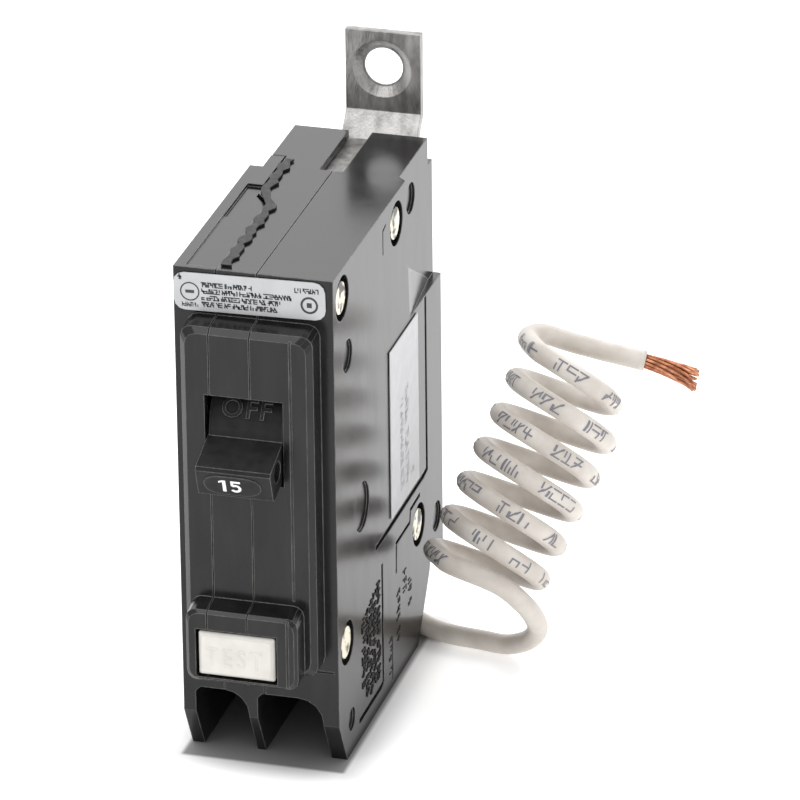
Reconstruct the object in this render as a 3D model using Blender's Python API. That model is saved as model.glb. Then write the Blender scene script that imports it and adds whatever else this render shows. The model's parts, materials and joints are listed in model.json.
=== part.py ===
"""Plug-on-sized ground-fault circuit breaker with a bolt-on line tab and a coiled neutral pigtail.

The breaker stands on the fins of its load end: +Z runs from the load end up to the line tab, -Y is the
front that carries the handle, and X runs across its one-inch width. Shapes are laid out in case
millimetres: x from the left face, y from the front face (negative is proud of it), z from the fin tips.
"""

import math

import bmesh
import bpy
from mathutils import Matrix, Vector

MM = 0.001

# ---------------------------------------------------------------- driving dimensions, mm
WIDTH = 25.4  # one pole space of a panelboard
HEIGHT = 83.65
DEPTH = 60.8
WALL = 1.6
GAP = 0.3  # between pieces that touch
SEAM = 0.15  # between the shells

COVER_SEAM = 6.8  # left cover meets the centre case
BASE_SEAM = 13.3  # centre case meets the right base
PARTITION = (11.5, BASE_SEAM - SEAM / 2)  # wall between the electronics and the switching chambers
FLOOR = 13.8  # inside floor of both chambers
ROOF = 81.9
REAR_STEP_Z = 59.4  # above it the rear of the case is narrower
INSET_RIGHT = 24.1
INSET_LEFT = 2.2

PANEL_PROUD = 4.7
BEZEL_PROUD = 8.7
PANEL_X = (2.1, 23.2)
PANEL_Z = (18.0, 76.2)
BEZEL_X = (3.3, 21.3)
BEZEL_Z = (17.6, 30.5)

HANDLE_PIVOT = (4.4, 57.6)  # y, z
HANDLE_X = (6.15, 18.15)
HANDLE_REACH = 15.255
HANDLE_HALF = 3.1
HANDLE_OFF = math.radians(19.0)
SKIRT_RADIUS = 8.2
WINDOW_X = (6.0, 18.5)
WINDOW_HALF = 7.1

BUTTON_X = (5.35, 17.65)
BUTTON_Z = (18.8, 26.2)
BUTTON_FRONT = -8.9
BUTTON_BACK = -4.6
SPRING_SEAT = (14.5, 22.7)  # x, z

RIVETS = {  # y, z
    "rivet_line_front": (4.8, 78.9),
    "rivet_line_rear": (35.3, 78.6),
    "rivet_load_rear": (46.4, 21.3),
    "rivet_load_front": (5.05, 20.1),
}
RIVET_RADIUS = 1.5
RIVET_HEAD = 2.6
RECESS_RADIUS = 3.65
RECESS_DEPTH = 1.2

TAB_X = (9.6, 22.0)
TAB_THICK = 1.5
TAB_FRONT = 62.1
TAB_TOP = 99.4
TAB_HOLE = (15.6, 93.1, 3.15, 4.95)  # x, z, hole radius, countersink radius
STRAP_TOP = 82.1

ARM_PIVOT = (30.0, 42.0)
ARM_OPEN = math.radians(22.0)
ARM_X = (17.0, 18.8)
CONTACT_X = 17.9
CONTACT_Z = 62.0

CRADLE_PIVOT = (11.0, 38.0)
CRADLE_X = (15.3, 16.5)
ARMATURE_PIVOT = (46.7, 44.0)
TERMINALS = {"hot": 17.8, "neutral": 6.35}  # x of each terminal screw
TERMINAL_Z = 7.2

WIRE_RADIUS = 1.6
COIL_TOP = Vector((50.5, 57.5, 48.3))  # centres of the coil's end faces
COIL_BOTTOM = Vector((37.2, 37.8, 15.7))
COIL_RADIUS = 10.3
COIL_TURN_RADIUS = 8.7
LEAD_END = Vector((57.7, 67.5, 44.5))  # where the insulation is cut back
STRANDS_END = Vector((66.2, 68.5, 40.9))

FRONT_OF_ALL = -10.724  # the handle's nose at rest
LABEL_FACE = WIDTH + 0.25
X_CENTRE = LABEL_FACE / 2
Y_CENTRE = (FRONT_OF_ALL + TAB_FRONT + TAB_THICK) / 2

# ---------------------------------------------------------------- materials
FINISHES = {  # base colour, roughness, metallic
    "moulded_black": ((0.018, 0.017, 0.016), 0.28, 0.0),
    "moulded_grey": ((0.10, 0.10, 0.11), 0.5, 0.0),
    "button_white": ((0.80, 0.78, 0.72), 0.4, 0.0),
    "label_silver": ((0.72, 0.74, 0.76), 0.35, 0.2),
    "label_white": ((0.83, 0.83, 0.84), 0.45, 0.0),
    "nickel": ((0.62, 0.58, 0.50), 0.3, 1.0),
    "tinned": ((0.50, 0.50, 0.49), 0.38, 1.0),
    "steel": ((0.42, 0.43, 0.44), 0.35, 1.0),
    "copper": ((0.72, 0.38, 0.22), 0.35, 1.0),
    "silver": ((0.80, 0.79, 0.76), 0.25, 1.0),
    "brass": ((0.66, 0.52, 0.26), 0.32, 1.0),
    "fibre": ((0.35, 0.13, 0.07), 0.75, 0.0),
    "board_green": ((0.03, 0.16, 0.07), 0.45, 0.0),
    "ferrite": ((0.06, 0.06, 0.07), 0.55, 0.0),
    "enamel": ((0.45, 0.16, 0.05), 0.35, 0.6),
    "film_blue": ((0.04, 0.10, 0.33), 0.4, 0.0),
    "disc_orange": ((0.62, 0.20, 0.03), 0.45, 0.0),
    "wire_white": ((0.78, 0.75, 0.69), 0.5, 0.0),
    "sealant": ((0.012, 0.011, 0.011), 0.7, 0.0),
}


def finish(name):
    """One Principled material per finish."""
    material = bpy.data.materials.get(name)
    if material is None:
        colour, roughness, metallic = FINISHES[name]
        material = bpy.data.materials.new(name)
        material.use_nodes = True
        shader = material.node_tree.nodes["Principled BSDF"]
        shader.inputs["Base Color"].default_value = (*colour, 1.0)
        shader.inputs["Roughness"].default_value = roughness
        shader.inputs["Metallic"].default_value = metallic
    return material


# ---------------------------------------------------------------- shape helpers
def at(x, y, z):
    """A world point, in metres, from case millimetres."""
    return Vector(((x - X_CENTRE) * MM, (y - Y_CENTRE) * MM, z * MM))


def lift(axis, u, v, w):
    """Case point of outline point (u, v) at w along axis."""
    return {"x": (w, u, v), "y": (u, w, v), "z": (u, v, w)}[axis]


def loft(rings):
    """Closed body (points, faces) skinned through rings that have one number of points each."""
    count = len(rings[0])
    points = [point for ring in rings for point in ring]
    faces = [tuple(range(count)), tuple(range(len(points) - count, len(points)))]
    for level in range(len(rings) - 1):
        base = level * count
        for i in range(count):
            j = (i + 1) % count
            faces.append((base + i, base + j, base + count + j, base + count + i))
    return points, faces


def prism(axis, outline, low, high):
    return loft([[lift(axis, u, v, w) for u, v in outline] for w in (low, high)])


def rectangle(u, v):
    return [(u[0], v[0]), (u[1], v[0]), (u[1], v[1]), (u[0], v[1])]


def block(x, y, z):
    return prism("z", rectangle(x, y), *z)


def arc(centre, radius, start, end, steps):
    """Points on an arc, angles in degrees from +u towards +v."""
    turn = [math.radians(start + (end - start) * i / steps) for i in range(steps + 1)]
    return [(centre[0] + radius * math.cos(a), centre[1] + radius * math.sin(a)) for a in turn]


def circle(centre, radius, sides=20):
    return arc(centre, radius, 0, 360 * (sides - 1) / sides, sides - 1)


def rod(axis, centre, radius, low, high, sides=20):
    return prism(axis, circle(centre, radius, sides), low, high)


def rounded(u, v, radius, steps=3):
    """Rectangle outline with round corners."""
    corners = ((u[1], v[1], 0), (u[0], v[1], 90), (u[0], v[0], 180), (u[1], v[0], 270))
    outline = []
    for cu, cv, start in corners:
        centre = (cu - math.copysign(radius, cu - sum(u) / 2), cv - math.copysign(radius, cv - sum(v) / 2))
        outline += arc(centre, radius, start, start + 90, steps)
    return outline


def strip(path, width):
    """Outline of a bent strip of this width along an open path, with mitred bends."""
    sides = ([], [])
    for i, (u, v) in enumerate(path):
        before = Vector(path[i]) - Vector(path[i - 1]) if i else None
        after = Vector(path[i + 1]) - Vector(path[i]) if i + 1 < len(path) else None
        first = (before or after).normalized()
        last = (after or before).normalized()
        middle = (first + last).normalized()
        normal = Vector((-middle.y, middle.x))
        reach = width / 2 / max(0.3, middle.dot(first))
        for side, sign in zip(sides, (1, -1)):
            side.append((u + sign * reach * normal.x, v + sign * reach * normal.y))
    return sides[0] + sides[1][::-1]


def turned(points, pivot, angle):
    """(y, z) points turned about pivot by angle around +X."""
    c, s = math.cos(angle), math.sin(angle)
    moved = [(u - pivot[0], v - pivot[1]) for u, v in points]
    return [(pivot[0] + c * u - s * v, pivot[1] + s * u + c * v) for u, v in moved]


def mesh_of(name, bodies, origin):
    """Mesh of closed bodies given in case millimetres, with its points taken from origin."""
    mesh = bpy.data.meshes.new(name)
    shape = bmesh.new()
    for points, faces in bodies:
        corners = [shape.verts.new(at(*point) - origin) for point in points]
        for face in faces:
            shape.faces.new([corners[i] for i in face])
    bmesh.ops.recalc_face_normals(shape, faces=shape.faces)
    shape.to_mesh(mesh)
    shape.free()
    return mesh


def node(name, bodies, look, pivot=None, smooth=False):
    """A named piece. pivot is the case point on its joint's axis, for a piece that moves."""
    origin = at(*pivot) if pivot else Vector((0, 0, 0))
    piece = bpy.data.objects.new(name, mesh_of(name, bodies, origin))
    piece.location = origin
    piece.data.materials.append(finish(look))
    if smooth:
        for face in piece.data.polygons:
            face.use_smooth = len(face.vertices) == 4
    bpy.context.scene.collection.objects.link(piece)
    return piece


def helper(name, bodies):
    """A body that only cuts or joins other pieces."""
    tool = bpy.data.objects.new(name, mesh_of(name, bodies, Vector((0, 0, 0))))
    tool.hide_render = True
    tool.display_type = "WIRE"
    bpy.context.scene.collection.objects.link(tool)
    return tool


def combine(piece, operation, tool):
    """Adds an exact Boolean. tool is an object, or the bodies to make one from."""
    if isinstance(tool, list):
        tool = helper(f"{piece.name}_{operation.lower()}_{len(piece.modifiers)}", tool)
    step = piece.modifiers.new(operation.title(), "BOOLEAN")
    step.operation = operation
    step.solver = "EXACT"
    step.use_self = True
    step.object = tool
    return piece


def tube(name, path, radius, look, ring=2):
    """A round closed tube through case points."""
    curve = bpy.data.curves.new(name, "CURVE")
    curve.dimensions = "3D"
    curve.bevel_depth = radius * MM
    curve.bevel_resolution = ring
    curve.use_fill_caps = True
    line = curve.splines.new("POLY")
    line.points.add(len(path) - 1)
    for point, place in zip(line.points, path):
        point.co = (*at(*place), 1.0)
    piece = bpy.data.objects.new(name, curve)
    curve.materials.append(finish(look))
    bpy.context.scene.collection.objects.link(piece)
    return piece


def smooth_path(points, spacing):
    """Catmull-Rom curve through points, sampled about every spacing mm."""
    knots = [Vector(p) for p in points]
    knots = [2 * knots[0] - knots[1], *knots, 2 * knots[-1] - knots[-2]]
    path = []
    for i in range(1, len(knots) - 2):
        a, b, c, d = knots[i - 1 : i + 3]
        count = max(1, round((c - b).length / spacing))
        for step in range(count):
            t = step / count
            path.append(
                0.5 * (2 * b + (c - a) * t + (2 * a - 5 * b + 4 * c - d) * t**2 + (3 * b - a - 3 * c + d) * t**3)
            )
    return [*path, knots[-2]]


def spring(name, axis, centre, low, high, turns, radius, wire, look):
    """A coil spring whose axis runs along x, y or z from low to high."""
    count = round(turns * 9)
    path = []
    for i in range(count + 1):
        turn = 2 * math.pi * turns * i / count
        u = centre[0] + radius * math.cos(turn)
        v = centre[1] + radius * math.sin(turn)
        path.append(lift(axis, u, v, low + (high - low) * i / count))
    return tube(name, path, wire, look, ring=0)


# ---------------------------------------------------------------- case shells
def case_profile():
    """Side outline of the case as (y, z): fins in front, a cut-away heel, a notched line end."""
    return [
        (0, HEIGHT), (0, 7.7), (4.1, 0), (45.3, 0), (52.6, 10.2), (53.1, 11.8),
        (DEPTH, 11.8), (DEPTH, 79.0), (58.3, 79.0), (58.3, HEIGHT),
    ]


def raised_block(x, z, proud, root, top_fall, chamfer, radius):
    """A block standing proud of the front, its top sloping down forwards and its rim chamfered."""
    levels = ((root, 0, 0), (chamfer - proud, top_fall, 0), (-proud, top_fall + chamfer, chamfer))
    rings = []
    for y, fall, inset in levels:
        outline = rounded((x[0] + inset, x[1] - inset), (z[0] + inset, z[1] - fall), radius)
        rings.append([(u, y, v) for u, v in outline])
    return loft(rings)


def case_envelope():
    envelope = helper("case_envelope", [prism("x", case_profile(), 0, WIDTH)])
    panel = raised_block(PANEL_X, PANEL_Z, PANEL_PROUD, 0.6, 0.5, 0.9, 1.8)
    bezel = raised_block(BEZEL_X, BEZEL_Z, BEZEL_PROUD, -4.0, 0.7, 0.5, 1.6)
    return combine(envelope, "UNION", [panel, bezel])


def front_openings():
    """Handle window, test button pocket, the button stem's hole and the return spring's seat."""
    z = (HANDLE_PIVOT[1] - WINDOW_HALF, HANDLE_PIVOT[1] + WINDOW_HALF)
    return [
        block(WINDOW_X, (-6, -2.5), z),
        block((4.95, 18.05), (-10, -2.0), (18.4, 26.6)),
        block((7.25, 10.15), (-2.5, 2.2), (23.65, 26.15)),
        rod("y", SPRING_SEAT, 2.8, -2.4, 1.0, 16),
    ]


def panel_cavity():
    return block((4.3, 21.9), (-2.9, 2.4), (31.5, 74.5))


def terminal_wells():
    """The two wells that open forwards and downwards, with a round upper right corner."""
    wells = []
    for low, high in ((2.0, 10.7), (12.1, 22.8)):
        outline = [(low, -1), (high, -1), *arc((high - 4, 8), 4, 0, 90, 4), (low + 0.8, 12), (low, 11.2)]
        wells.append(prism("y", outline, -2, 42.5))
    return wells


def rivet_holes():
    return [rod("x", place, RIVET_RADIUS + GAP, -1, WIDTH + 1, 14) for place in RIVETS.values()]


def rivet_recesses(low, high):
    return [rod("x", place, RECESS_RADIUS, low, high, 24) for place in RIVETS.values()]


def rivet_bosses(low, high, radius=3.2):
    return [rod("x", place, radius, low, high, 16) for place in RIVETS.values()]


def strap_way():
    """Room for the line strap, and the slot in the roof that shows it."""
    return [
        block((9.3, 22.3), (42.9, 61.5), (80.3, 82.4)),
        block((11.1, 15.0), (41.6, 62), (80.1, HEIGHT + 1)),
    ]


def lug_slot(x):
    return block((x - 4.2, x + 4.2), (31.3, 33.3), (7.0, FLOOR + 0.4))


def left_cover(envelope):
    split = COVER_SEAM - SEAM / 2
    tongue = [
        (-1, -20), (split, -20), (split, 26.9), (4.3, 29.9), (4.3, 45.4), (2.1, 45.4), (2.1, 40.7), (-1, 40.7)
    ]
    piece = node("left_cover", [block((-1, split), (-20, 70), (-1, REAR_STEP_Z - SEAM / 2))], "moulded_black")
    combine(piece, "UNION", [prism("z", tongue, 50, 90)])
    combine(piece, "INTERSECT", envelope)
    inside = [
        block((WALL, 7), (1.8, 39.2), (FLOOR, ROOF)),
        block((WALL, 7), (30, 59), (FLOOR, 57.5)),
        panel_cavity(),
    ]
    combine(piece, "DIFFERENCE", inside)
    pads = rivet_bosses(WALL - 0.2, 3.4, 4.6)
    pin_boss = rod("x", HANDLE_PIVOT, 3.25, WALL - 0.2, 4.5, 16)
    combine(piece, "UNION", [*rivet_bosses(WALL - 0.2, split), *pads, pin_boss])
    combine(piece, "INTERSECT", helper("left_cover_bounds", [block((-1, split), (-20, 70), (-1, 90))]))
    cuts = [
        *front_openings(), *terminal_wells(), *rivet_holes(), *rivet_recesses(-1, RECESS_DEPTH),
        rod("x", HANDLE_PIVOT, 1.8, 1.9, 5, 14), lug_slot(TERMINALS["neutral"]),
        block((1.8, 8), (0.9, 20.6), (HEIGHT - 0.25, 90)),
        block((1.8, 8), (20.6, 33.6), (HEIGHT - 0.5, 90)),
    ]
    return combine(piece, "DIFFERENCE", cuts)


def center_case(envelope):
    left, right = COVER_SEAM + SEAM / 2, BASE_SEAM - SEAM / 2
    upper = [(left, -20), (left, 27.1), (4.6, 30.2), (4.6, 45.7), (INSET_LEFT, 45.7), (INSET_LEFT, 70), (right, 70), (right, -20)]
    piece = node("center_case", [block((left, right), (-20, 70), (-1, 70))], "moulded_black")
    combine(piece, "UNION", [prism("z", upper, REAR_STEP_Z + SEAM / 2, 90)])
    combine(piece, "INTERSECT", envelope)
    wall = PARTITION[0]
    inside = [
        block((0, wall), (1.8, 40), (FLOOR, ROOF)),
        block((0, wall), (30, 59), (FLOOR, 57.5)),
        block((3.9, wall), (30, 56.5), (50, 79.6)),
        block((4.3, wall), (-2.9, 2.4), (31.5, 74.5)),
    ]
    combine(piece, "DIFFERENCE", inside)
    combine(piece, "UNION", rivet_bosses(left, right - 0.4))
    cuts = [
        *front_openings(), *terminal_wells(), *rivet_holes(), *strap_way(),
        rod("x", HANDLE_PIVOT, 9.2, 11.2, 14, 28), lug_slot(TERMINALS["neutral"]),
        block((11, 14), (43.7, 47.3), (28.9, 31.1)),
    ]
    return combine(piece, "DIFFERENCE", cuts)


def side_grooves():
    """Shallow moulded channels, dimples and marks in the right face."""
    runs = [  # width, depth, path
        (1.1, 0.6, [(51.5, 59.2), (51.5, 28.9), (49.9, 28.6), (21.5, 28.6)]),
        (0.75, 0.5, [(47.2, 26.3), (41.6, 26.1), (41.1, 24.1), (33.2, 24.1), (33.0, 18.9)]),
        (1.0, 0.6, [(24.9, 24.4), (24.9, 3.6), (23.6, 3.2), (11.0, 3.2)]),
        (0.5, 0.3, [(30.3, 8.6), (30.3, 1.0)]),
        (0.5, 0.3, [(29.3, 80.9), (27.6, 80.4), (27.6, 76.4)]),
    ]
    grooves = [prism("x", strip(run, width), WIDTH - deep, WIDTH + 1) for width, deep, run in runs]
    dimples = [((7.2, 68.2), 2.7), ((57.0, 17.9), 2.6), ((6.9, 5.8), 1.9), ((14.1, 39.4), 4.1)]
    grooves += [rod("x", place, radius, WIDTH - 0.45, WIDTH + 1, 24) for place, radius in dimples]
    grooves.append(rod("x", (48.0, 77.5), 2.6, INSET_RIGHT - 0.5, WIDTH + 1, 24))
    return grooves


def right_base(envelope):
    left = BASE_SEAM + SEAM / 2
    piece = node("right_base", [block((left, WIDTH + 1), (-20, 70), (-1, 90))], "moulded_black")
    combine(piece, "INTERSECT", envelope)
    inner = WIDTH - WALL
    inside = [
        block((13, inner), (1.8, 39.8), (FLOOR, ROOF)),
        block((13, inner), (30, 59), (FLOOR, 57.6)),
        block((13, 22.4), (30, 56.5), (50, ROOF)),
        block((13, 21.9), (-2.9, 2.4), (31.5, 74.5)),
    ]
    combine(piece, "DIFFERENCE", inside)
    pads = rivet_bosses(22.0, inner + 0.2, 4.6)
    bosses = [
        rod("x", HANDLE_PIVOT, 3.25, 20.9, inner + 0.2, 16),
        rod("x", ARM_PIVOT, 2.8, 22.2, inner + 0.2, 16),
        rod("x", CRADLE_PIVOT, 2.8, 20.6, inner + 0.2, 16),
    ]
    combine(piece, "UNION", [*rivet_bosses(left, inner + 0.2), *pads, *bosses])
    foot = [(INSET_RIGHT, 58.0), (WIDTH + 0.1, 41.2), (27, 40.5), (27, 63), (INSET_RIGHT, 63)]
    full = [(INSET_RIGHT, 41.9), (WIDTH + 0.1, 40.5), (27, 40.5), (27, 63), (INSET_RIGHT, 63)]
    inset = loft([[(x, y, z) for x, y in ring] for ring, z in ((foot, REAR_STEP_Z), (full, 69.0), (full, 90.0))])
    cuts = [
        *front_openings(), *terminal_wells(), *rivet_holes(), *rivet_recesses(WIDTH - RECESS_DEPTH, WIDTH + 1),
        block((21.0, 24.7), (-1, 0.3), (16.9, 17.2)),
        *strap_way(), *side_grooves(), inset, lug_slot(TERMINALS["hot"]),
        rod("x", HANDLE_PIVOT, 1.8, 20.5, 23.5, 14), rod("x", ARM_PIVOT, 1.5, 21.8, 23.5, 14),
        rod("x", CRADLE_PIVOT, 1.5, 20.2, 23.5, 14), rod("z", (16.5, 56.0), WIRE_RADIUS + 0.4, 11, 15, 16),
        block((19.6, 19.9), (-10, -BEZEL_PROUD + 0.3), (10, 34)),
        block((19.6, 19.9), (-10, -PANEL_PROUD + 0.25), (31.2, 80)),
    ]
    return combine(piece, "DIFFERENCE", cuts)


def labels():
    front = rounded((-12.2, 11.95), (-3.1, 3.1), 1.7)
    tilt = math.radians(1.2)
    outline = [
        (12.3 + u * math.cos(tilt) - v * math.sin(tilt), 79.95 + u * math.sin(tilt) + v * math.cos(tilt))
        for u, v in front
    ]
    node("front_label", [prism("y", outline, -0.3, -0.1)], "label_silver")
    node("side_label", [block((WIDTH + 0.1, LABEL_FACE), (30.0, 46.2), (29.8, 58.7))], "label_white")
    seam = [(8.0, 1.4 + 1.2 * i) for i in range(21)] + [(6.6, 28.0), (5.6, 30.4)]
    seam += [(5.5, 31.8 + 1.2 * i) for i in range(11)]
    left = [(x - 0.75 - 0.3 * math.sin(1.7 * i) - 0.15 * math.sin(4.3 * i), y) for i, (x, y) in enumerate(seam)]
    right = [(x + 0.75 + 0.3 * math.sin(2.3 * i + 1) + 0.2 * math.sin(5.1 * i), y) for i, (x, y) in enumerate(seam)]
    bead = [*left, *right[::-1]]
    node("sealant_bead", [prism("z", bead, HEIGHT + 0.1, HEIGHT + 0.4)], "sealant")


def rivets():
    for name, place in RIVETS.items():
        shank = rod("x", place, RIVET_RADIUS, 0.5, WIDTH - 0.5, 12)
        heads = [rod("x", place, RIVET_HEAD, low, low + 0.6, 18) for low in (0.25, WIDTH - 0.85)]
        combine(node(name, [shank], "nickel"), "UNION", heads)


# ---------------------------------------------------------------- handle and test button
def handle():
    y, z = HANDLE_PIVOT
    tip, half, bevel = y - HANDLE_REACH, HANDLE_HALF, 0.5
    top = z + half - 0.45
    lever = [
        (y, top), (tip + bevel, top), (tip, top - bevel), (tip, z - half + bevel),
        (tip + bevel, z - half), (y, z - half),
    ]
    skirt = [*arc((y, z), SKIRT_RADIUS, 102, 258, 16), (y + 3.0, z - 3.6), (y + 4.2, z), (y + 3.0, z + 3.6)]
    tail = rectangle((y, y + 9.0), (z - 1.8, z + 1.8))

    def rest(points):
        return turned(points, HANDLE_PIVOT, HANDLE_OFF)

    pivot = (X_CENTRE, y, z)
    piece = node("handle", [prism("x", rest(skirt), 6.35, 18.1)], "moulded_black", pivot)
    combine(piece, "UNION", [prism("x", rest(lever), *HANDLE_X), prism("x", rest(tail), 14.2, 16.8)])
    tie_hole = rest([(y - 11.8, z + 0.3)])[0]
    cuts = [rod("x", HANDLE_PIVOT, 1.8, 0, 25, 16), rod("x", tie_hole, 1.7, 0, 25, 18)]
    combine(piece, "DIFFERENCE", cuts)
    node("handle_pin", [rod("x", HANDLE_PIVOT, 1.5, 2.2, 23.2, 14)], "steel", smooth=True)


def test_button():
    bevel = 0.6
    rings = []
    for y, inset in ((BUTTON_BACK, 0), (BUTTON_FRONT + bevel, 0), (BUTTON_FRONT, bevel)):
        face = rounded((BUTTON_X[0] + inset, BUTTON_X[1] - inset), (BUTTON_Z[0] + inset, BUTTON_Z[1] - inset), 0.35, 2)
        rings.append([(u, y, v) for u, v in face])
    pivot = (sum(BUTTON_X) / 2, BUTTON_FRONT, sum(BUTTON_Z) / 2)
    piece = node("test_button", [loft(rings)], "button_white", pivot)
    combine(piece, "UNION", [block((7.6, 9.8), (BUTTON_BACK - 1, 3.7), (24.0, 25.8))])
    spring("test_button_spring", "y", SPRING_SEAT, -4.05, -1.6, 3, 2.2, 0.22, "steel")
    node("test_contact_blade", [block((7.4, 10.0), (4.0, 4.4), (23.9, 33.2))], "copper", (8.7, 4.2, 33.2))
    node("test_blade_bracket", [block((7.4, 9.9), (4.0, 14.7), (33.5, 34.3))], "brass")


# ---------------------------------------------------------------- line side and contacts
def line_terminal():
    """The bolt-on tab, joggled forwards into the case, with the leg that carries the fixed contact."""
    half = TAB_THICK / 2
    middle = STRAP_TOP - half
    path = [(43.2, middle), (59.3, middle), (TAB_FRONT + half, 85.6), (TAB_FRONT + half, TAB_TOP)]
    piece = node("line_terminal", [prism("x", strip(path, TAB_THICK), *TAB_X)], "tinned")
    combine(piece, "UNION", [block((15.2, 20.6), (43.2, 44.7), (58.5, STRAP_TOP - 0.5))])
    x, z, hole, sink = TAB_HOLE
    cone = loft([
        [(u, TAB_FRONT - 0.4, v) for u, v in circle((x, z), sink + 0.4, 32)],
        [(u, TAB_FRONT + 1.2, v) for u, v in circle((x, z), hole + 0.3, 32)],
    ])
    return combine(piece, "DIFFERENCE", [rod("y", (x, z), hole, 60, 66, 32), cone])


def contacts():
    node("stationary_contact", [rod("y", (CONTACT_X, CONTACT_Z), 2.4, 41.7, 42.9, 20)], "silver")
    closed = [ARM_PIVOT, (37.9, 60.0), (37.9, 64.2)]
    beam = prism("x", turned(strip(closed, 4.0), ARM_PIVOT, ARM_OPEN), *ARM_X)
    pivot = (CONTACT_X, *ARM_PIVOT)
    arm = node("moving_contact_arm", [beam], "copper", pivot)
    combine(arm, "UNION", [rod("x", ARM_PIVOT, 3.0, *ARM_X, 18)])
    combine(arm, "DIFFERENCE", [rod("x", ARM_PIVOT, 1.5, 10, 25, 14)])
    points, faces = rod("y", (CONTACT_X, CONTACT_Z), 2.2, 40.2, 41.4, 20)
    opened = [(x, *turned([(y, z)], ARM_PIVOT, ARM_OPEN)[0]) for x, y, z in points]
    node("moving_contact_tip", [(opened, faces)], "silver", pivot)
    node("arm_pivot_pin", [rod("x", ARM_PIVOT, 1.2, 14.0, 23.2, 12)], "steel")


def arc_chute():
    z = (67.2, 73.6)
    back = node("arc_chute_board", [block((14.0, 23.2), (25.2, 26.0), z)], "fibre")
    combine(back, "UNION", [block(x, (25.4, 39.4), z) for x in ((14.0, 14.8), (22.4, 23.2))])
    for i, low in enumerate((67.8, 69.8, 71.8)):
        node(f"arc_plate_{i + 1}", [block((15.1, 22.1), (26.3, 39.4), (low, low + 0.8))], "steel")


# ---------------------------------------------------------------- trip mechanism
def trip_mechanism():
    lever = strip([CRADLE_PIVOT, (26.0, 37.0), (45.2, 32.8)], 3.6)
    cradle = node("trip_cradle", [prism("x", lever, *CRADLE_X)], "steel", (CRADLE_X[0], *CRADLE_PIVOT))
    combine(cradle, "UNION", [rod("x", CRADLE_PIVOT, 2.8, *CRADLE_X, 18)])
    combine(cradle, "DIFFERENCE", [rod("x", CRADLE_PIVOT, 1.5, 10, 25, 14)])
    node("cradle_pin", [rod("x", CRADLE_PIVOT, 1.2, 14.0, 23.2, 12)], "steel")

    low, high = Vector((20.4, 24.5, 40.0)), Vector((20.4, 27.6, 53.0))
    along = (high - low).normalized()
    side = Vector((1, 0, 0))
    third = along.cross(side)
    turns, steps = 9, 8
    path = []
    for i in range(turns * steps + 1):
        angle = 2 * math.pi * i / steps
        path.append(low + (high - low) * i / (turns * steps) + 1.2 * (side * math.cos(angle) + third * math.sin(angle)))
    tube("toggle_spring", path, 0.3, "steel", ring=0)

    plate = block((13.8, 22.6), (46.0, 47.4), (27.0, 43.0))
    armature = node("armature", [plate], "steel", (18.6, *ARMATURE_PIVOT))
    combine(armature, "UNION", [rod("x", ARMATURE_PIVOT, 1.3, 13.8, 22.6, 14)])
    node("bimetal_strip", [block((16.6, 21.4), (50.0, 50.9), (17.8, 47.5))], "brass")
    yoke = node("magnet_yoke", [block((14.9, 23.1), (54.6, 56.0), (30.0, 42.0))], "steel")
    combine(yoke, "UNION", [block(x, (51.2, 55.0), (30.0, 42.0)) for x in ((14.9, 16.1), (21.9, 23.1))])
    screw = node("calibration_screw", [rod("y", (19.0, 25.0), 1.4, 51.2, 57.5, 12)], "brass")
    combine(screw, "UNION", [rod("y", (19.0, 25.0), 2.4, 57.0, 58.6, 16)])
    strap = strip([(33.3, 15.3), (51.8, 15.3), (51.8, 21.5)], 1.2)
    node("load_strap", [prism("x", strap, 16.6, 21.4)], "copper")
    braid = smooth_path([(20.4, 32.2, 44.4), (20.4, 35.5, 49.6), (20.4, 41.0, 51.4), (20.2, 46.5, 51.6), (19.4, 48.7, 47.6)], 2.2)
    tube("flexible_braid", braid, 0.9, "copper", ring=1)


def terminals():
    """Screw, clamp plate and lug of each load terminal."""
    for side, x in TERMINALS.items():
        hole = rod("y", (x, TERMINAL_Z), 2.15, 10, 60, 14)
        lug = node(f"{side}_terminal_lug", [block((x - 3.9, x + 3.9), (31.6, 33.0), (2.5, 16.0))], "tinned")
        combine(lug, "DIFFERENCE", [hole])
        clamp = node(
            f"{side}_clamp_plate", [block((x - 3.3, x + 3.3), (24.4, 25.8), (3.4, 10.2))], "steel",
            (x, 25.1, TERMINAL_Z),
        )
        combine(clamp, "DIFFERENCE", [hole])
        screw = node(
            f"{side}_terminal_screw", [rod("y", (x, TERMINAL_Z), 1.8, 22, 37.5, 14)], "steel",
            (x, 22.5, TERMINAL_Z),
        )
        combine(screw, "UNION", [rod("y", (x, TERMINAL_Z), 3.5, 21.0, 24.0, 20)])
        combine(screw, "DIFFERENCE", [block((x - 0.5, x + 0.5), (20, 22.0), (3, 12))])


# ---------------------------------------------------------------- ground-fault electronics
def ring_core(name, y, z, look):
    """A wound ring core whose hole faces across the case."""
    radius, thick, sides, steps = 5.0, 2.2, 20, 8
    points = []
    for i in range(sides):
        turn = 2 * math.pi * i / sides
        for j in range(steps):
            tilt = 2 * math.pi * j / steps
            reach = radius + thick * math.cos(tilt)
            points.append((6.0 + thick * math.sin(tilt), y + reach * math.cos(turn), z + reach * math.sin(turn)))
    faces = []
    for i in range(sides):
        for j in range(steps):
            k, m = (i + 1) % sides, (j + 1) % steps
            faces.append((i * steps + j, i * steps + m, k * steps + m, k * steps + j))
    return node(name, [(points, faces)], look, smooth=True)


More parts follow.
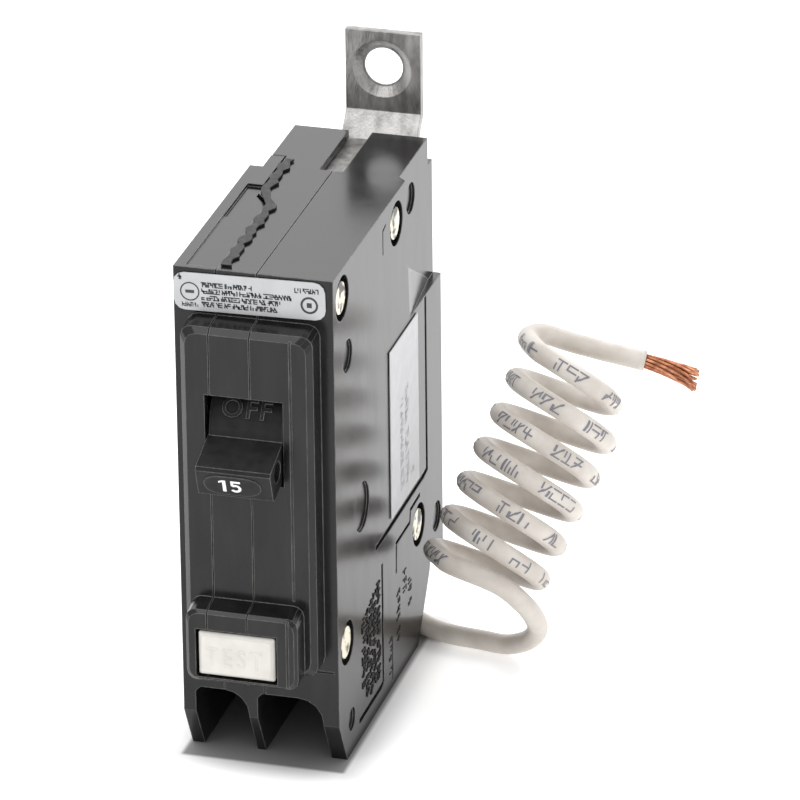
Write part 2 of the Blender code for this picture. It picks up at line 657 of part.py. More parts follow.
def electronics():
    board_back, board_front = 11.2, 10.0
    board = node("circuit_board", [block((board_front, board_back), (15.0, 56.0), (26.0, 74.6))], "board_green")
    combine(board, "DIFFERENCE", [block((9, 12), (43.5, 48.0), (20, 31.4))])
    face = board_front - GAP
    ring_core("sense_toroid", 50.5, 41.0, "enamel")
    ring_core("neutral_toroid", 28.4, 66.0, "enamel")

    x, z = 6.2, 30.0
    frame = node("solenoid_frame", [block((2.3, 9.6), (20.0, 39.2), (35.0, 36.2))], "steel")
    combine(frame, "UNION", [block((2.3, 9.6), y, (24.6, 35.6)) for y in ((20.0, 21.2), (38.0, 39.2))])
    combine(frame, "DIFFERENCE", [rod("y", (x, z), 1.8, 10, 50, 14)])
    coil = node("solenoid_coil", [rod("y", (x, z), 3.3, 21.5, 37.7, 24)], "enamel")
    combine(coil, "DIFFERENCE", [rod("y", (x, z), 1.7, 10, 50, 14)])
    plunger = node("solenoid_plunger", [rod("y", (x, z), 1.35, 16.0, 45.6, 14)], "steel", (x, 16.0, z))
    combine(plunger, "UNION", [rod("y", (x, z), 2.6, 15.0, 16.4, 18), rod("x", (44.95, z), 0.7, x, 15.0, 10)])
    spring("plunger_spring", "y", (x, z), 18.2, 19.55, 2, 2.1, 0.2, "steel")

    node("filter_capacitor", [rod("z", (5.8, 21.5), 3.6, 41.0, 51.0, 24)], "film_blue", smooth=True)
    node("surge_varistor", [rod("x", (36.5, 50.5), 5.0, 6.2, face, 28)], "disc_orange")
    node("control_chip", [block((7.9, face), (40.0, 50.0), (64.0, 70.0))], "moulded_grey")
    can = [(face, 28.0), *arc((face, 30.4), 2.4, 270, 90, 8), (face, 32.8)]
    node("scr_switch", [prism("z", can, 39.5, 44.5)], "moulded_grey")
    node("test_resistor", [rod("z", (8.2, 18.3), 1.3, 60.0, 67.0, 14)], "disc_orange", smooth=True)


# ---------------------------------------------------------------- neutral pigtail
def pigtail():
    """Neutral lead: a tube up to the coil, the coil's outer cylinder, the straight end and its bare strands."""
    down = (COIL_BOTTOM - COIL_TOP).normalized()
    across = (Vector((1, 0, 0)) - down * down.x).normalized()
    start = COIL_BOTTOM + COIL_TURN_RADIUS * across + GAP * down
    lead = [
        (16.5, 56.0, 17.0), (16.5, 56.0, 11.0), (17.1, 55.4, 7.2), (19.2, 53.5, 4.2), (22.6, 51.2, 2.4),
        (26.6, 48.9, 1.75), (30.6, 47.2, 1.75), (35.4, 46.7, 1.75), (40.3, 46.0, 1.75), (44.2, 43.8, 4.0),
        (45.7, 40.4, 7.3), start + 2.4 * down, start,
    ]
    tube("pigtail_lead", smooth_path(lead, 2.6 * WIRE_RADIUS), WIRE_RADIUS, "wire_white")

    side = down.cross(across)
    rings = []
    for centre in (COIL_TOP, COIL_BOTTOM):
        ring = [2 * math.pi * i / 28 for i in range(28)]
        rings.append([centre + COIL_RADIUS * (across * math.cos(a) + side * math.sin(a)) for a in ring])
    node("pigtail_coil", [loft(rings)], "wire_white")

    rear = Vector((-1.5, 8.2, -2.4))
    rear = (rear - down * rear.dot(down)).normalized()
    foot = COIL_TOP + COIL_TURN_RADIUS * rear - GAP * down
    route = [foot, foot - 2.0 * down, (52.6, 66.8, 46.0), LEAD_END]
    tube("pigtail_end", smooth_path(route, 2.2 * WIRE_RADIUS), WIRE_RADIUS, "wire_white")
    bare = STRANDS_END - LEAD_END
    strands = [LEAD_END + bare * share for share in (0.04, 0.35, 0.7, 1)]
    tube("copper_strands", strands, 1.05, "copper", ring=1)


def main():
    for old in list(bpy.data.objects):
        bpy.data.objects.remove(old, do_unlink=True)
    envelope = case_envelope()
    left_cover(envelope)
    center_case(envelope)
    right_base(envelope)
    labels()
    rivets()
    handle()
    test_button()
    line_terminal()
    contacts()
    arc_chute()
    trip_mechanism()
    terminals()
    electronics()
    pigtail()


main()
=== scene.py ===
"""Looks for the ground-fault breaker: studio, camera, neutral pigtail, prints, lettering and materials.

Shapes are laid out in case millimetres, as in part.py: x from the left face, y from the front face (negative
is proud of it), z from the fin tips.
"""

import json
import math
import random

import bpy
from mathutils import Matrix, Vector


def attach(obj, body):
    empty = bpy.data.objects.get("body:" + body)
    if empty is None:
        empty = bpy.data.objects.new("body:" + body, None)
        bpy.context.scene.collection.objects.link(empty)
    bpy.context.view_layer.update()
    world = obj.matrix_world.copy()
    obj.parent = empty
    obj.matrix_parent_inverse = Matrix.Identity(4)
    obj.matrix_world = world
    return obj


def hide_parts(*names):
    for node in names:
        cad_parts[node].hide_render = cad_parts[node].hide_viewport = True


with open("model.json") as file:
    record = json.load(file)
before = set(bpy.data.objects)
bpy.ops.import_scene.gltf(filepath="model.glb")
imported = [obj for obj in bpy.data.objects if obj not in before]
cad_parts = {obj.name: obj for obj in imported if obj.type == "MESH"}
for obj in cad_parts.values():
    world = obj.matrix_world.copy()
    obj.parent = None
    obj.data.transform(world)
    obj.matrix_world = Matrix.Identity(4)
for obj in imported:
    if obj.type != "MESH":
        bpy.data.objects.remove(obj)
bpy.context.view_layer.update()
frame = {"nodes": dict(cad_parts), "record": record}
NODES = frame["nodes"]

MM = 0.001
X_CENTRE = 12.825
Y_CENTRE = 26.438
WIDTH = 25.4


def at(x, y, z):
    """World point, in metres, from case millimetres."""
    return Vector(((x - X_CENTRE) * MM, (y - Y_CENTRE) * MM, z * MM))


# ---------------------------------------------------------------- camera, floor and light
CAMERA_PLACE = (310.379, -957.978, 522.880)
CAMERA_RIGHT = (0.96252884, 0.27098454, -0.01027679)
CAMERA_UP = (-0.10412935, 0.40432455, 0.90866866)
CAMERA_LENS = 324.04
FLOOR_HALF = 4.0
# the floor's painted glow and painted shade are both measured from this foot
FOOTPRINT = (("X", 0.0128), ("Y", 0.0265))  # half sides of the case's foot, in metres
PAPER = (0.9, 0.9, 0.9)


def make_camera():
    camera = bpy.data.objects.new("camera", bpy.data.cameras.new("camera"))
    bpy.context.scene.collection.objects.link(camera)
    camera.data.sensor_width = 36.0
    camera.data.lens = CAMERA_LENS
    camera.data.clip_end = 20.0
    right, up = Vector(CAMERA_RIGHT), Vector(CAMERA_UP)
    turn = Matrix((right, up, right.cross(up))).transposed().to_4x4()
    camera.matrix_world = Matrix.Translation(at(*CAMERA_PLACE)) @ turn
    bpy.context.scene.camera = camera


def softbox(name, place, aim, size, power):
    lamp = bpy.data.lights.new(name, "AREA")
    lamp.shape = "RECTANGLE"
    lamp.size, lamp.size_y = size
    lamp.energy = power
    light = bpy.data.objects.new(name, lamp)
    bpy.context.scene.collection.objects.link(light)
    way = Vector(aim) - Vector(place)
    light.matrix_world = Matrix.Translation(place) @ way.to_track_quat("-Z", "Y").to_matrix().to_4x4()


def make_studio():
    scene = bpy.context.scene
    scene.view_settings.view_transform = "Standard"
    world = bpy.data.worlds.new("studio")
    world.use_nodes = True
    world.node_tree.nodes["Background"].inputs["Color"].default_value = (1.0, 1.0, 1.0, 1.0)
    world.node_tree.nodes["Background"].inputs["Strength"].default_value = 0.85
    scene.world = world
    corners = [(x * FLOOR_HALF, y * FLOOR_HALF, 0) for x, y in ((-1, -1), (1, -1), (1, 1), (-1, 1))]
    floor = mesh_piece("floor", corners, [(0, 1, 2, 3)])
    floor.data.materials.append(paper_with_painted_light())
    softbox("key", (-0.35, -0.3, 1.2), (0, 0, 0.04), (1.0, 1.0), 8.0)
    softbox("back_light", (0.35, 0.9, 0.8), (0, 0, 0.05), (0.8, 0.5), 4.0)
    softbox("rear_card", (-0.37, 1.17, 0.56), (0, 0, 0.08), (1.3, 0.55), 3.2)


def paper_with_painted_light():
    """White paper with painted light: a painted glow, emission that rises away from the case's foot, and painted
    shade, its colour darkened under the case.
    """
    material = paint("floor_paper", PAPER, 0.9)
    tree = material.node_tree
    add, link = tree.nodes.new, tree.links.new

    def maths(kind, a, b):
        step = add("ShaderNodeMath")
        step.operation = kind
        for socket, value in zip(step.inputs, (a, b)):
            if isinstance(value, float):
                socket.default_value = value
            else:
                link(value, socket)
        return step.outputs[0]

    place = add("ShaderNodeSeparateXYZ")
    link(add("ShaderNodeNewGeometry").outputs["Position"], place.inputs["Vector"])
    beyond = []
    for axis, half in FOOTPRINT:
        away = maths("ABSOLUTE", place.outputs[axis], 0.0)
        beyond.append(maths("POWER", maths("MAXIMUM", maths("SUBTRACT", away, half), 0.0), 2.0))
    gap = maths("POWER", maths("ADD", beyond[0], beyond[1]), 0.5)
    shader = tree.nodes["Principled BSDF"]
    shader.inputs["Emission Color"].default_value = (1.0, 1.0, 1.0, 1.0)
    # painted light on the floor: a painted glow that grows with distance from the foot, and painted shadow, the base
    # colour darkened under and just around the case
    for socket, far, low, high in (("Emission Strength", 0.007, 0.0, 0.45), ("Base Color", 0.001, 0.25, PAPER[0])):
        ramp = add("ShaderNodeMapRange")
        ramp.interpolation_type = "SMOOTHSTEP"
        ramp.inputs["From Max"].default_value = far
        ramp.inputs["To Min"].default_value = low
        ramp.inputs["To Max"].default_value = high
        link(gap, ramp.inputs["Value"])
        link(ramp.outputs["Result"], shader.inputs[socket])
    return material


# ---------------------------------------------------------------- mesh helpers
def mesh_piece(name, points, faces, smooth=False):
    mesh = bpy.data.meshes.new(name)
    mesh.from_pydata([tuple(p) for p in points], [], faces)
    mesh.update()
    for face in mesh.polygons:
        face.use_smooth = smooth
    piece = bpy.data.objects.new(name, mesh)
    bpy.context.scene.collection.objects.link(piece)
    return piece


def smooth_path(points, spacing):
    """Catmull-Rom curve through points, sampled about every spacing mm."""
    knots = [Vector(p) for p in points]
    knots = [2 * knots[0] - knots[1], *knots, 2 * knots[-1] - knots[-2]]
    path = []
    for i in range(1, len(knots) - 2):
        a, b, c, d = knots[i - 1 : i + 3]
        count = max(1, round((c - b).length / spacing))
        for step in range(count):
            t = step / count
            path.append(
                0.5 * (2 * b + (c - a) * t + (2 * a - 5 * b + 4 * c - d) * t**2 + (3 * b - a - 3 * c + d) * t**3)
            )
    return [*path, knots[-2]]


def sections(path):
    """(centre, tangent, side, up) along a path, turned as little as possible from one to the next."""
    frames = []
    side = None
    for i, point in enumerate(path):
        tangent = (path[min(i + 1, len(path) - 1)] - path[max(i - 1, 0)]).normalized()
        if side is None:
            side = tangent.orthogonal().normalized()
        side = (side - tangent * side.dot(tangent)).normalized()
        frames.append((point, tangent, side, tangent.cross(side)))
    return frames


def sweep(path, radius, sides):
    """Closed round tube (points, faces) along case points."""
    points, faces = [], []
    frames = sections(path)
    for centre, _, side, up in frames:
        for j in range(sides):
            turn = 2 * math.pi * j / sides
            points.append(at(*(centre + radius * (math.cos(turn) * side + math.sin(turn) * up))))
    for i in range(len(frames) - 1):
        for j in range(sides):
            k = (j + 1) % sides
            faces.append((i * sides + j, i * sides + k, (i + 1) * sides + k, (i + 1) * sides + j))
    faces.append(tuple(reversed(range(sides))))
    faces.append(tuple(range(len(points) - sides, len(points))))
    return points, faces


def joined(parts):
    points, faces = [], []
    for more_points, more_faces in parts:
        base = len(points)
        points += more_points
        faces += [tuple(i + base for i in face) for face in more_faces]
    return points, faces


# ---------------------------------------------------------------- materials
SCUFF = (0.42, 0.41, 0.40)  # black plastic rubbed pale at its corners
MOULDED_EDGE = 0.00022  # rounding of the case's corners, in metres


def paint(name, colour, roughness, metallic=0.0):
    material = bpy.data.materials.new(name)
    material.use_nodes = True
    shader = material.node_tree.nodes["Principled BSDF"]
    shader.inputs["Base Color"].default_value = (*colour, 1.0)
    shader.inputs["Roughness"].default_value = roughness
    shader.inputs["Metallic"].default_value = metallic
    return material


def mottled(name, dark, light, rough, metallic=0.0, grain=600.0, bump=0.1, stretch=(1, 1, 1), spread=(0.35, 0.65),
            edge=0.0, wear=None, sheen=0.5):
    """Two colours and two roughnesses mixed by noise, with a fine bump. grain is noise cycles per metre."""
    material = paint(name, light, rough[0], metallic)
    tree = material.node_tree
    add, link = tree.nodes.new, tree.links.new
    shader = tree.nodes["Principled BSDF"]
    shader.inputs["Specular IOR Level"].default_value = sheen
    place = add("ShaderNodeTexCoord")
    scale = add("ShaderNodeMapping")
    scale.inputs["Scale"].default_value = stretch
    link(place.outputs["Object"], scale.inputs["Vector"])
    broad = add("ShaderNodeTexNoise")
    broad.inputs["Scale"].default_value = grain
    broad.inputs["Detail"].default_value = 5.0
    fine = add("ShaderNodeTexNoise")
    fine.inputs["Scale"].default_value = grain * 6
    fine.inputs["Detail"].default_value = 3.0
    colour = add("ShaderNodeValToRGB")
    colour.color_ramp.elements[0].position = spread[0]
    colour.color_ramp.elements[0].color = (*dark, 1.0)
    colour.color_ramp.elements[1].position = spread[1]
    colour.color_ramp.elements[1].color = (*light, 1.0)
    gloss = add("ShaderNodeMapRange")
    gloss.inputs["To Min"].default_value = rough[0]
    gloss.inputs["To Max"].default_value = rough[1]
    relief = add("ShaderNodeBump")
    relief.inputs["Strength"].default_value = bump
    relief.inputs["Distance"].default_value = 0.0001
    for noise in (broad, fine):
        link(scale.outputs["Vector"], noise.inputs["Vector"])
    link(broad.outputs["Fac"], colour.inputs["Fac"])
    link(broad.outputs["Fac"], gloss.inputs["Value"])
    link(fine.outputs["Fac"], relief.inputs["Height"])
    link(colour.outputs["Color"], shader.inputs["Base Color"])
    link(gloss.outputs["Result"], shader.inputs["Roughness"])
    link(relief.outputs["Normal"], shader.inputs["Normal"])
    if edge:
        round_off = add("ShaderNodeBevel")
        round_off.samples = 4
        round_off.inputs["Radius"].default_value = edge
        link(round_off.outputs["Normal"], relief.inputs["Normal"])
    if wear:
        # corners scuffed pale where the rounded normal leaves the flat one
        turned = add("ShaderNodeVectorMath")
        turned.operation = "DOT_PRODUCT"
        link(round_off.outputs["Normal"], turned.inputs[0])
        link(add("ShaderNodeNewGeometry").outputs["True Normal"], turned.inputs[1])
        rub = add("ShaderNodeMapRange")
        rub.inputs["From Min"].default_value = 0.99
        rub.inputs["From Max"].default_value = 0.86
        link(turned.outputs["Value"], rub.inputs["Value"])
        patchy = add("ShaderNodeMath")
        patchy.operation = "MULTIPLY"
        link(rub.outputs["Result"], patchy.inputs[0])
        link(fine.outputs["Fac"], patchy.inputs[1])
        blend = add("ShaderNodeMix")
        blend.data_type = "RGBA"
        blend.inputs["B"].default_value = (*wear, 1.0)
        link(patchy.outputs["Value"], blend.inputs["Factor"])
        link(colour.outputs["Color"], blend.inputs["A"])
        link(blend.outputs["Result"], shader.inputs["Base Color"])
    return material


def make_materials():
    looks = {
        "moulded_black": mottled("black_thermoset", (0.007, 0.007, 0.007), (0.015, 0.014, 0.014), (0.12, 0.26),
                                 grain=260, bump=0.06, stretch=(1, 1, 0.25), edge=MOULDED_EDGE, wear=SCUFF,
                                 sheen=0.31),
        "handle_black": mottled("black_handle", (0.012, 0.012, 0.012), (0.02, 0.019, 0.019), (0.32, 0.45),
                                grain=500, bump=0.12, edge=MOULDED_EDGE, wear=SCUFF, sheen=0.16),
        "moulded_grey": mottled("black_epoxy", (0.03, 0.03, 0.035), (0.05, 0.05, 0.055), (0.45, 0.6)),
        "button_white": mottled("button_plastic", (0.60, 0.58, 0.54), (0.67, 0.65, 0.61), (0.35, 0.5), grain=300,
                                bump=0.05, edge=0.00025),
        "label_silver": mottled("label_film", (0.46, 0.47, 0.48), (0.52, 0.53, 0.54), (0.28, 0.4), 0.15, grain=300,
                                bump=0.02),
        "label_white": mottled("sticker_paper", (0.54, 0.54, 0.56), (0.60, 0.60, 0.62), (0.4, 0.55), grain=400,
                               bump=0.05),
        "nickel": mottled("rivet_nickel", (0.05, 0.045, 0.035), (0.95, 0.90, 0.74), (0.2, 0.5), 0.7, grain=520,
                          bump=1.0, spread=(0.40, 0.52)),
        "tinned": mottled("tinned_strap", (0.20, 0.195, 0.19), (0.50, 0.49, 0.48), (0.3, 0.6), 1.0, grain=520,
                          bump=0.7, stretch=(1, 1, 0.35), spread=(0.3, 0.7), edge=0.0002),
        "steel": mottled("zinc_steel", (0.38, 0.38, 0.38), (0.60, 0.60, 0.60), (0.25, 0.45), 1.0),
        "silver": mottled("contact_silver", (0.65, 0.64, 0.61), (0.85, 0.84, 0.80), (0.2, 0.4), 1.0),
        "copper": mottled("bare_copper", (0.30, 0.10, 0.05), (0.78, 0.38, 0.22), (0.22, 0.42), 1.0, grain=700,
                          bump=0.3),
        "brass": mottled("plain_brass", (0.50, 0.38, 0.16), (0.75, 0.60, 0.30), (0.25, 0.45), 1.0),
        "fibre": mottled("fibre_board", (0.22, 0.08, 0.04), (0.35, 0.15, 0.08), (0.7, 0.9), bump=0.4),
        "board_green": mottled("board_mask", (0.01, 0.08, 0.03), (0.02, 0.13, 0.05), (0.3, 0.5)),
        "enamel": mottled("winding_enamel", (0.30, 0.10, 0.03), (0.50, 0.20, 0.07), (0.25, 0.45), 0.4, grain=900,
                          bump=0.6),
        "film_blue": mottled("capacitor_sleeve", (0.02, 0.05, 0.20), (0.03, 0.08, 0.28), (0.3, 0.5)),
        "disc_orange": mottled("epoxy_dip", (0.42, 0.14, 0.03), (0.55, 0.2, 0.04), (0.4, 0.6)),
        "wire_white": mottled("wire_jacket", (0.56, 0.51, 0.46), (0.69, 0.65, 0.60), (0.38, 0.55), grain=180,
                              bump=0.15),
        "sealant": mottled("black_sealant", (0.004, 0.004, 0.004), (0.012, 0.012, 0.012), (0.25, 0.75), grain=900,
                           bump=1.0),
        "black_print": paint("raised_text_black", (0.004, 0.004, 0.004), 0.6),
        "ink_dark": paint("print_ink_dark", (0.035, 0.035, 0.04), 0.5),
        "ink_grey": paint("print_ink_grey", (0.20, 0.20, 0.23), 0.5),
        "ink_faint": paint("print_ink_faint", (0.36, 0.36, 0.38), 0.5),
        "ink_white": paint("print_ink_white", (0.85, 0.85, 0.85), 0.5),
    }
    for entry in frame["record"]["subparts"]:
        piece = NODES[entry["node"]]
        look = "handle_black" if entry["node"] == "handle" else entry["material_slot"]
        piece.data.materials.clear()
        piece.data.materials.append(looks[look])
    return looks


# ---------------------------------------------------------------- prints and lettering
STROKES = [
    ((0, 0), (0, 0.5)), ((0, 0.5), (0, 1)), ((0, 1), (1, 1)), ((1, 1), (1, 0.5)), ((1, 0.5), (1, 0)),
    ((1, 0), (0, 0)), ((0, 0.5), (1, 0.5)), ((0.5, 0), (0.5, 1)), ((0, 1), (1, 0)),
]


def greek(rng, corner, height, words, weight=0.16, wide=0.55, pitch=0.8):
    """Quads (u, v) of a row of made-up marks that stand for words, from its lower left corner."""
    quads = []
    u = corner[0]
    for letters in words:
        for _ in range(letters):
            for (ua, va), (ub, vb) in rng.sample(STROKES, 3):
                a = Vector((u + ua * wide * height, corner[1] + va * height))
                b = Vector((u + ub * wide * height, corner[1] + vb * height))
                along = (b - a).normalized() * weight * height / 2
                out = Vector((-along.y, along.x))
                quads.append([a - along - out, b + along - out, b + along + out, a - along + out])
            u += pitch * height
        u += 0.5 * height
    return quads


def ring_quads(centre, radius, weight, sides=28):
    quads = []
    for i in range(sides):
        a, b = (2 * math.pi * k / sides for k in (i, i + 1))
        quads.append([
            Vector((centre[0] + r * math.cos(t), centre[1] + r * math.sin(t)))
            for r, t in ((radius - weight, a), (radius, a), (radius, b), (radius - weight, b))
        ])
    return quads


def printed(name, quads, place, body, ink, thick=0.0):
    """Marks as a piece. place(u, v, w) gives the case point w mm above the surface."""
    points, faces = [], []
    for quad in quads:
        base = len(points)
        points += [at(*place(u, v, 0.03 + thick)) for u, v in quad]
        faces.append((base, base + 1, base + 2, base + 3))
        if thick:
            points += [at(*place(u, v, 0.01)) for u, v in quad]
            faces += [(base + i, base + 4 + i, base + 4 + (i + 1) % 4, base + (i + 1) % 4) for i in range(4)]
    piece = mesh_piece(name, points, faces)
    piece.data.materials.append(ink)
    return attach(piece, body)


def lettering(name, text, height, spread, thick, weight=0.0):
    """Mesh of a short generic word, its centre at the origin, u along x, v along y, w along z, in mm."""
    curve = bpy.data.curves.new(name, "FONT")
    curve.body = text
    curve.size = height / 0.72
    curve.align_x = "CENTER"
    curve.space_character = spread
    curve.extrude = thick / 2
    curve.offset = weight
    curve.resolution_u = 3
    source = bpy.data.objects.new(name + "_source", curve)
    bpy.context.scene.collection.objects.link(source)
    bpy.context.view_layer.update()
    graph = bpy.context.evaluated_depsgraph_get()
    mesh = bpy.data.meshes.new_from_object(source.evaluated_get(graph))
    bpy.data.objects.remove(source)
    for point in mesh.vertices:
        point.co.y -= height / 2
    piece = bpy.data.objects.new(name, mesh)
    bpy.context.scene.collection.objects.link(piece)
    return piece


def lay_out(piece, place):
    for point in piece.data.vertices:
        point.co = at(*place(point.co.x, point.co.y, point.co.z))
    piece.data.update()
    return piece


# ---------------------------------------------------------------- neutral pigtail
WIRE = 1.65
COIL_FIRST = Vector((50.0, 56.75, 47.33))
COIL_WAY = Vector((-0.327, -0.487, -0.810)).normalized()
COIL_SIDE = Vector((0.911, 0.066, -0.408))
COIL_FRONT = Vector((0.252, -0.871, 0.422))
COIL_RADIUS = 8.7
COIL_PITCH = 6.05
COIL_PHASE = -0.32
TURN_STEPS = 20


def coil_point(turns):
    angle = 2 * math.pi * turns + COIL_PHASE
    slack = 2.0 * max(0.0, 1 - abs(turns - 0.5) / 0.6)
    place = COIL_FIRST + COIL_PITCH * turns * COIL_WAY - slack * COIL_SIDE
    return place + COIL_RADIUS * (math.sin(angle) * COIL_FRONT - math.cos(angle) * COIL_SIDE)


def pigtail_route():
    """The lead from inside the case: under the heel, across the floor, up the coil and out to its bare end."""
    hidden = [(16.5, 56.0, 15.0), (16.5, 56.0, 11.0), (17.1, 55.4, 7.2), (19.2, 53.5, 4.2), (22.6, 51.2, 2.4)]
    floor = [(26.3, 48.9, 1.76), (30.4, 47.3, 1.76), (35.4, 46.6, 1.76), (40.3, 45.9, 1.85)]
    rise = [(44.4, 44.0, 4.2), (46.4, 41.5, 7.6), (46.6, 38.6, 11.0), (45.6, 35.4, 14.9), (42.4, 32.4, 19.3)]
    turns = [6.2 - k / TURN_STEPS for k in range(int(6.1 * TURN_STEPS))]
    coil = [coil_point(t) for t in turns]
    out = [(40.2, 59.4, 50.2), (41.6, 63.3, 49.4), (45.2, 65.7, 47.4), (51.1, 66.6, 45.9), (57.6, 67.5, 44.5)]
    return smooth_path([*hidden, *floor, *rise, *coil, *out], 0.9)


def pigtail(looks):
    path = pigtail_route()
    lead = mesh_piece("neutral_lead", *sweep(path, WIRE, 16), smooth=True)
    lead.data.materials.append(looks["wire_white"])
    for face in lead.data.polygons[-2:]:
        face.use_smooth = False
    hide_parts("pigtail_lead", "pigtail_coil", "pigtail_end")
    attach(lead, "case")

    end, before = path[-1], path[-4]
    strands = strand_bundle(end, (end - before).normalized(), looks["copper"])
    marks = lead_print(path, looks["ink_grey"])


def strand_bundle(end, way, look):
    """Bare strands that leave the jacket as one twisted bundle and fan out a little."""
    rng = random.Random(5)
    side = way.orthogonal().normalized()
    up = way.cross(side)
    wires = []
    rings = ((0.0, 1), (0.5, 6), (0.98, 12))  # radius, and how many strands lie on it
    places = [(radius, k * math.tau / count) for radius, count in rings for k in range(count)]
    for radius, turn in places:
        fan = 1.0 + rng.uniform(0.3, 1.1)
        reach = 9.2 + rng.uniform(-0.9, 0.2)
        wander = rng.uniform(-0.25, 0.25)
        line = []
        for step in range(9):
            share = step / 8
            angle = turn + 0.9 * share
            r = radius * (1 + (fan - 1) * share**1.6) + wander * share * 0.3
            sag = Vector((0, 0, -1.1 * share**2))
            line.append(end + way * (reach * share - 0.6) + sag + r * (math.cos(angle) * side + math.sin(angle) * up))
        wires.append(sweep(line, 0.24, 7))
    bundle = mesh_piece("bare_strands", *joined(wires), smooth=True)
    bundle.data.materials.append(look)
    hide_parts("copper_strands")
    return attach(bundle, "case")


def lead_print(path, ink):
    """Made-up grey marks along the outside of the coil's turns."""
    rng = random.Random(11)
    frames = sections(path)
    reach = [0.0]
    for a, b in zip(path, path[1:]):
        reach.append(reach[-1] + (b - a).length)

    def place(u, v, w):
        i = min(range(len(reach)), key=lambda k: abs(reach[k] - u))
        centre, tangent, _, _ = frames[i]
        centre = centre + tangent * (u - reach[i])
        axis = COIL_FIRST + COIL_WAY * (centre - COIL_FIRST).dot(COIL_WAY)
        out = centre - axis
        out = (out - tangent * out.dot(tangent)).normalized()
        across = tangent.cross(out)
        return centre + (WIRE + w) * (math.cos(v / WIRE) * out + math.sin(v / WIRE) * across)

    quads = []
    start = 70.0
    while start < reach[-1] - 30:
        words = [rng.choice((2, 3, 4, 5))]
        quads += greek(rng, (start, -0.9), 1.8, words, weight=0.15, wide=0.66, pitch=0.95)
        start += words[0] * 1.9 + 2.6
    # strokes cut short enough to lie on the round jacket
    short = []
    for low_a, low_b, high_b, high_a in quads:
        for k in range(6):
            a, b = k / 6, (k + 1) / 6
            short.append([low_a.lerp(low_b, a), low_a.lerp(low_b, b), high_a.lerp(high_b, b), high_a.lerp(high_b, a)])
    return printed("lead_print", short, place, "case", ink)


# ---------------------------------------------------------------- case prints
LABEL_MIDDLE = (12.3, 79.95)
LABEL_FRONT = -0.3
LABEL_TILT = math.radians(1.2)
STICKER_FACE = WIDTH + 0.25
STICKER_MIDDLE = (38.0, 44.0)


def label_place(u, v, w):
    along, rise = math.cos(LABEL_TILT), math.sin(LABEL_TILT)
    return (LABEL_MIDDLE[0] + u * along - v * rise, LABEL_FRONT - w, LABEL_MIDDLE[1] + u * rise + v * along)


def front_label_print(ink):
    rng = random.Random(3)
    quads = []
    for row, words in enumerate(((7, 7, 1), (6, 5, 7, 9), (1, 4, 6, 5, 2, 4), (4, 2, 2, 5, 1, 7))):
        quads += greek(rng, (-7.7, 0.95 - 1.08 * row), 0.66, words, weight=0.27, pitch=0.75)
    quads += greek(rng, (-11.4, 2.0), 0.8, (1,), weight=0.26)
    quads += greek(rng, (7.2, 1.3), 0.66, (2, 5), weight=0.25, pitch=0.75)
    quads += greek(rng, (-10.9, -2.45), 0.6, (6,), weight=0.2, pitch=0.72)
    quads += ring_quads((-9.6, 0.0), 1.55, 0.2)
    quads += [[Vector(p) for p in ((-10.3, -0.25), (-8.9, -0.25), (-8.9, 0.25), (-10.3, 0.25))]]
    quads += ring_quads((9.4, -0.7), 1.4, 0.34)
    quads += [[Vector(p) for p in ((9.0, -1.1), (9.8, -1.1), (9.8, -0.3), (9.0, -0.3))]]
    printed("front_label_print", quads, label_place, "case", ink)


def side_prints(looks):
    rng = random.Random(8)

    def upright(u, v, w):
        return (STICKER_FACE + w, STICKER_MIDDLE[0] - v, STICKER_MIDDLE[1] + u)

    quads = []
    for row, words in enumerate(((10, 1), (7, 5), (1,))):
        quads += greek(rng, (-11.5, 0.9 - 2.9 * row), 1.7, words, weight=0.12)
    printed("side_label_print", quads, upright, "case", looks["ink_faint"])

    def embossed(y, z, turn):
        def place(u, v, w):
            across = u * math.cos(turn) - v * math.sin(turn)
            rise = u * math.sin(turn) + v * math.cos(turn)
            return (WIDTH + w, y + across, z + rise)
        return place

    quads = []
    down = -math.pi / 2
    for row, words in enumerate(((2, 1, 4, 1), (5, 3, 3), (4, 2, 6), (1, 6, 5), (3, 4, 3, 2))):
        quads += greek(rng, (0.6 * (4 - row), 2.15 * row), 1.45, words, weight=0.17, pitch=0.86)
    printed("case_text_front", quads, embossed(13.2, 22.2, down), "case", looks["black_print"], 0.12)
    quads = []
    for corner, words in (((9.0, 0.0), (3, 1)), ((2.6, 4.6), (4, 2)), ((0.8, 8.4), (3,)), ((3.6, 11.4), (2, 1))):
        quads += greek(rng, corner, 1.7, words, weight=0.11, wide=0.4, pitch=0.86)
    printed("case_text_rear", quads, embossed(28.5, 18.0, down), "case", looks["black_print"], 0.05)


# ---------------------------------------------------------------- handle, button and rivet details
PIVOT = (4.4, 57.6)
HANDLE_OFF = math.radians(19.0)
HANDLE_MIDDLE = 12.15
HANDLE_REACH = 15.255
SKIRT_RADIUS = 8.2
NOSE_MIDDLE = (11.9, -0.22)  # x, and distance along the nose from the lever's axis
BUTTON_FRONT = -8.9
WORD_MIDDLE = (11.2, 22.3)
WORD_WIDTH = 0.7  # the word's letters are narrow


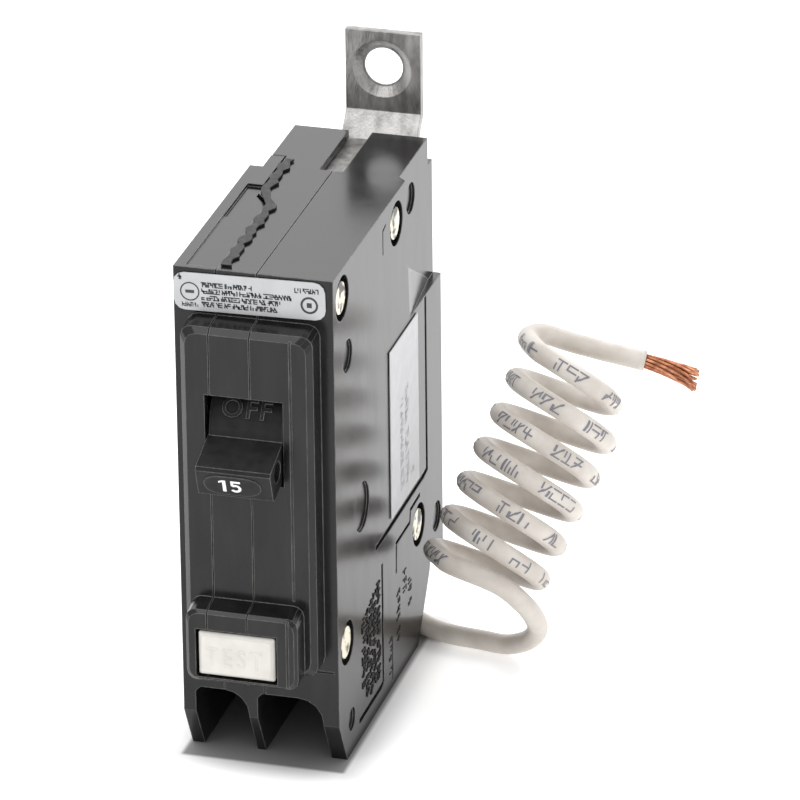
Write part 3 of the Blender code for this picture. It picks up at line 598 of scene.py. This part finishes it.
def handle_lettering(looks):
    def on_skirt(middle):
        def place(u, v, w):
            turn = math.radians(middle) + v / (SKIRT_RADIUS + 0.1)
            r = SKIRT_RADIUS + w
            return (HANDLE_MIDDLE + u, PIVOT[0] - r * math.cos(turn), PIVOT[1] + r * math.sin(turn))
        return place

    for name, text, middle in (("off_letters", "OFF", 33.5), ("on_letters", "ON", -71.0)):
        piece = lay_out(lettering(name, text, 3.1, 1.12, 0.6, 0.09), on_skirt(middle))
        piece.data.materials.append(looks["handle_black"])
        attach(piece, "handle")

    def on_nose(u, v, w):
        reach = HANDLE_REACH + w
        v += NOSE_MIDDLE[1]
        y = -reach * math.cos(HANDLE_OFF) - v * math.sin(HANDLE_OFF)
        z = -reach * math.sin(HANDLE_OFF) + v * math.cos(HANDLE_OFF)
        return (NOSE_MIDDLE[0] + u, PIVOT[0] + y, PIVOT[1] + z)

    outline = [(4.6 * math.copysign(abs(math.cos(t)) ** 0.5, math.cos(t)), 1.9 * math.sin(t))
               for t in (math.tau * k / 40 for k in range(40))]
    points = [at(*on_nose(u * s, v * s, w)) for s, w in ((1.0, 0.0), (1.0, 0.12), (0.95, 0.2)) for u, v in outline]
    faces = [(k * 40 + i, k * 40 + (i + 1) % 40, k * 40 + 40 + (i + 1) % 40, k * 40 + 40 + i)
             for k in range(2) for i in range(40)]
    pad = mesh_piece("rating_pad", points, [*faces, tuple(range(80, 120))])
    pad.data.materials.append(looks["handle_black"])
    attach(pad, "handle")

    def on_pad(u, v, w):
        return on_nose(u - 0.4, v, w + 0.2)

    printed("rating_digits", rating_quads(), on_pad, "handle", looks["ink_white"])


def rating_quads():
    """The figures 15, from bars and a bowl."""
    bars = [
        ((-1.15, -1.15), (-0.6, -1.15), (-0.6, 1.15), (-1.15, 1.15)),
        ((-1.75, 0.55), (-1.15, 0.8), (-1.15, 1.15), (-1.75, 0.9)),
        ((0.2, 0.75), (1.75, 0.75), (1.75, 1.15), (0.2, 1.15)),
        ((0.2, 0.1), (0.62, 0.1), (0.62, 0.75), (0.2, 0.75)),
    ]
    quads = [[Vector(p) for p in bar] for bar in bars]
    for i in range(12):
        a, b = (math.radians(140 - 24 * k) for k in (i, i + 1))
        corners = ((0.4, a), (0.8, a), (0.8, b), (0.4, b))
        quads.append([Vector((0.92 + 1.15 * r * math.cos(t), -0.34 + r * math.sin(t))) for r, t in corners])
    return quads


def engraved_button(looks):
    """The test button with its word cut into the face."""
    button = bpy.data.objects.new("engraved_button", NODES["test_button"].data.copy())
    bpy.context.scene.collection.objects.link(button)

    def on_face(u, v, w):
        return (WORD_MIDDLE[0] + WORD_WIDTH * u, BUTTON_FRONT - w, WORD_MIDDLE[1] + v)

    word = lay_out(lettering("test_word", "TEST", 3.3, 1.45, 0.7), on_face)
    for polygon in word.data.polygons:
        polygon.flip()
    cut = button.modifiers.new("Engrave", "BOOLEAN")
    cut.operation = "DIFFERENCE"
    cut.solver = "EXACT"
    cut.object = word
    bpy.context.view_layer.update()
    mesh = bpy.data.meshes.new_from_object(button.evaluated_get(bpy.context.evaluated_depsgraph_get()))
    button.modifiers.clear()
    button.data = mesh
    bpy.data.objects.remove(word)
    button.data.materials.clear()
    button.data.materials.append(looks["button_white"])
    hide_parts("test_button")
    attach(button, "button")


make_camera()
looks = make_materials()
pigtail(looks)
make_studio()
front_label_print(looks["ink_dark"])
side_prints(looks)
handle_lettering(looks)
engraved_button(looks)
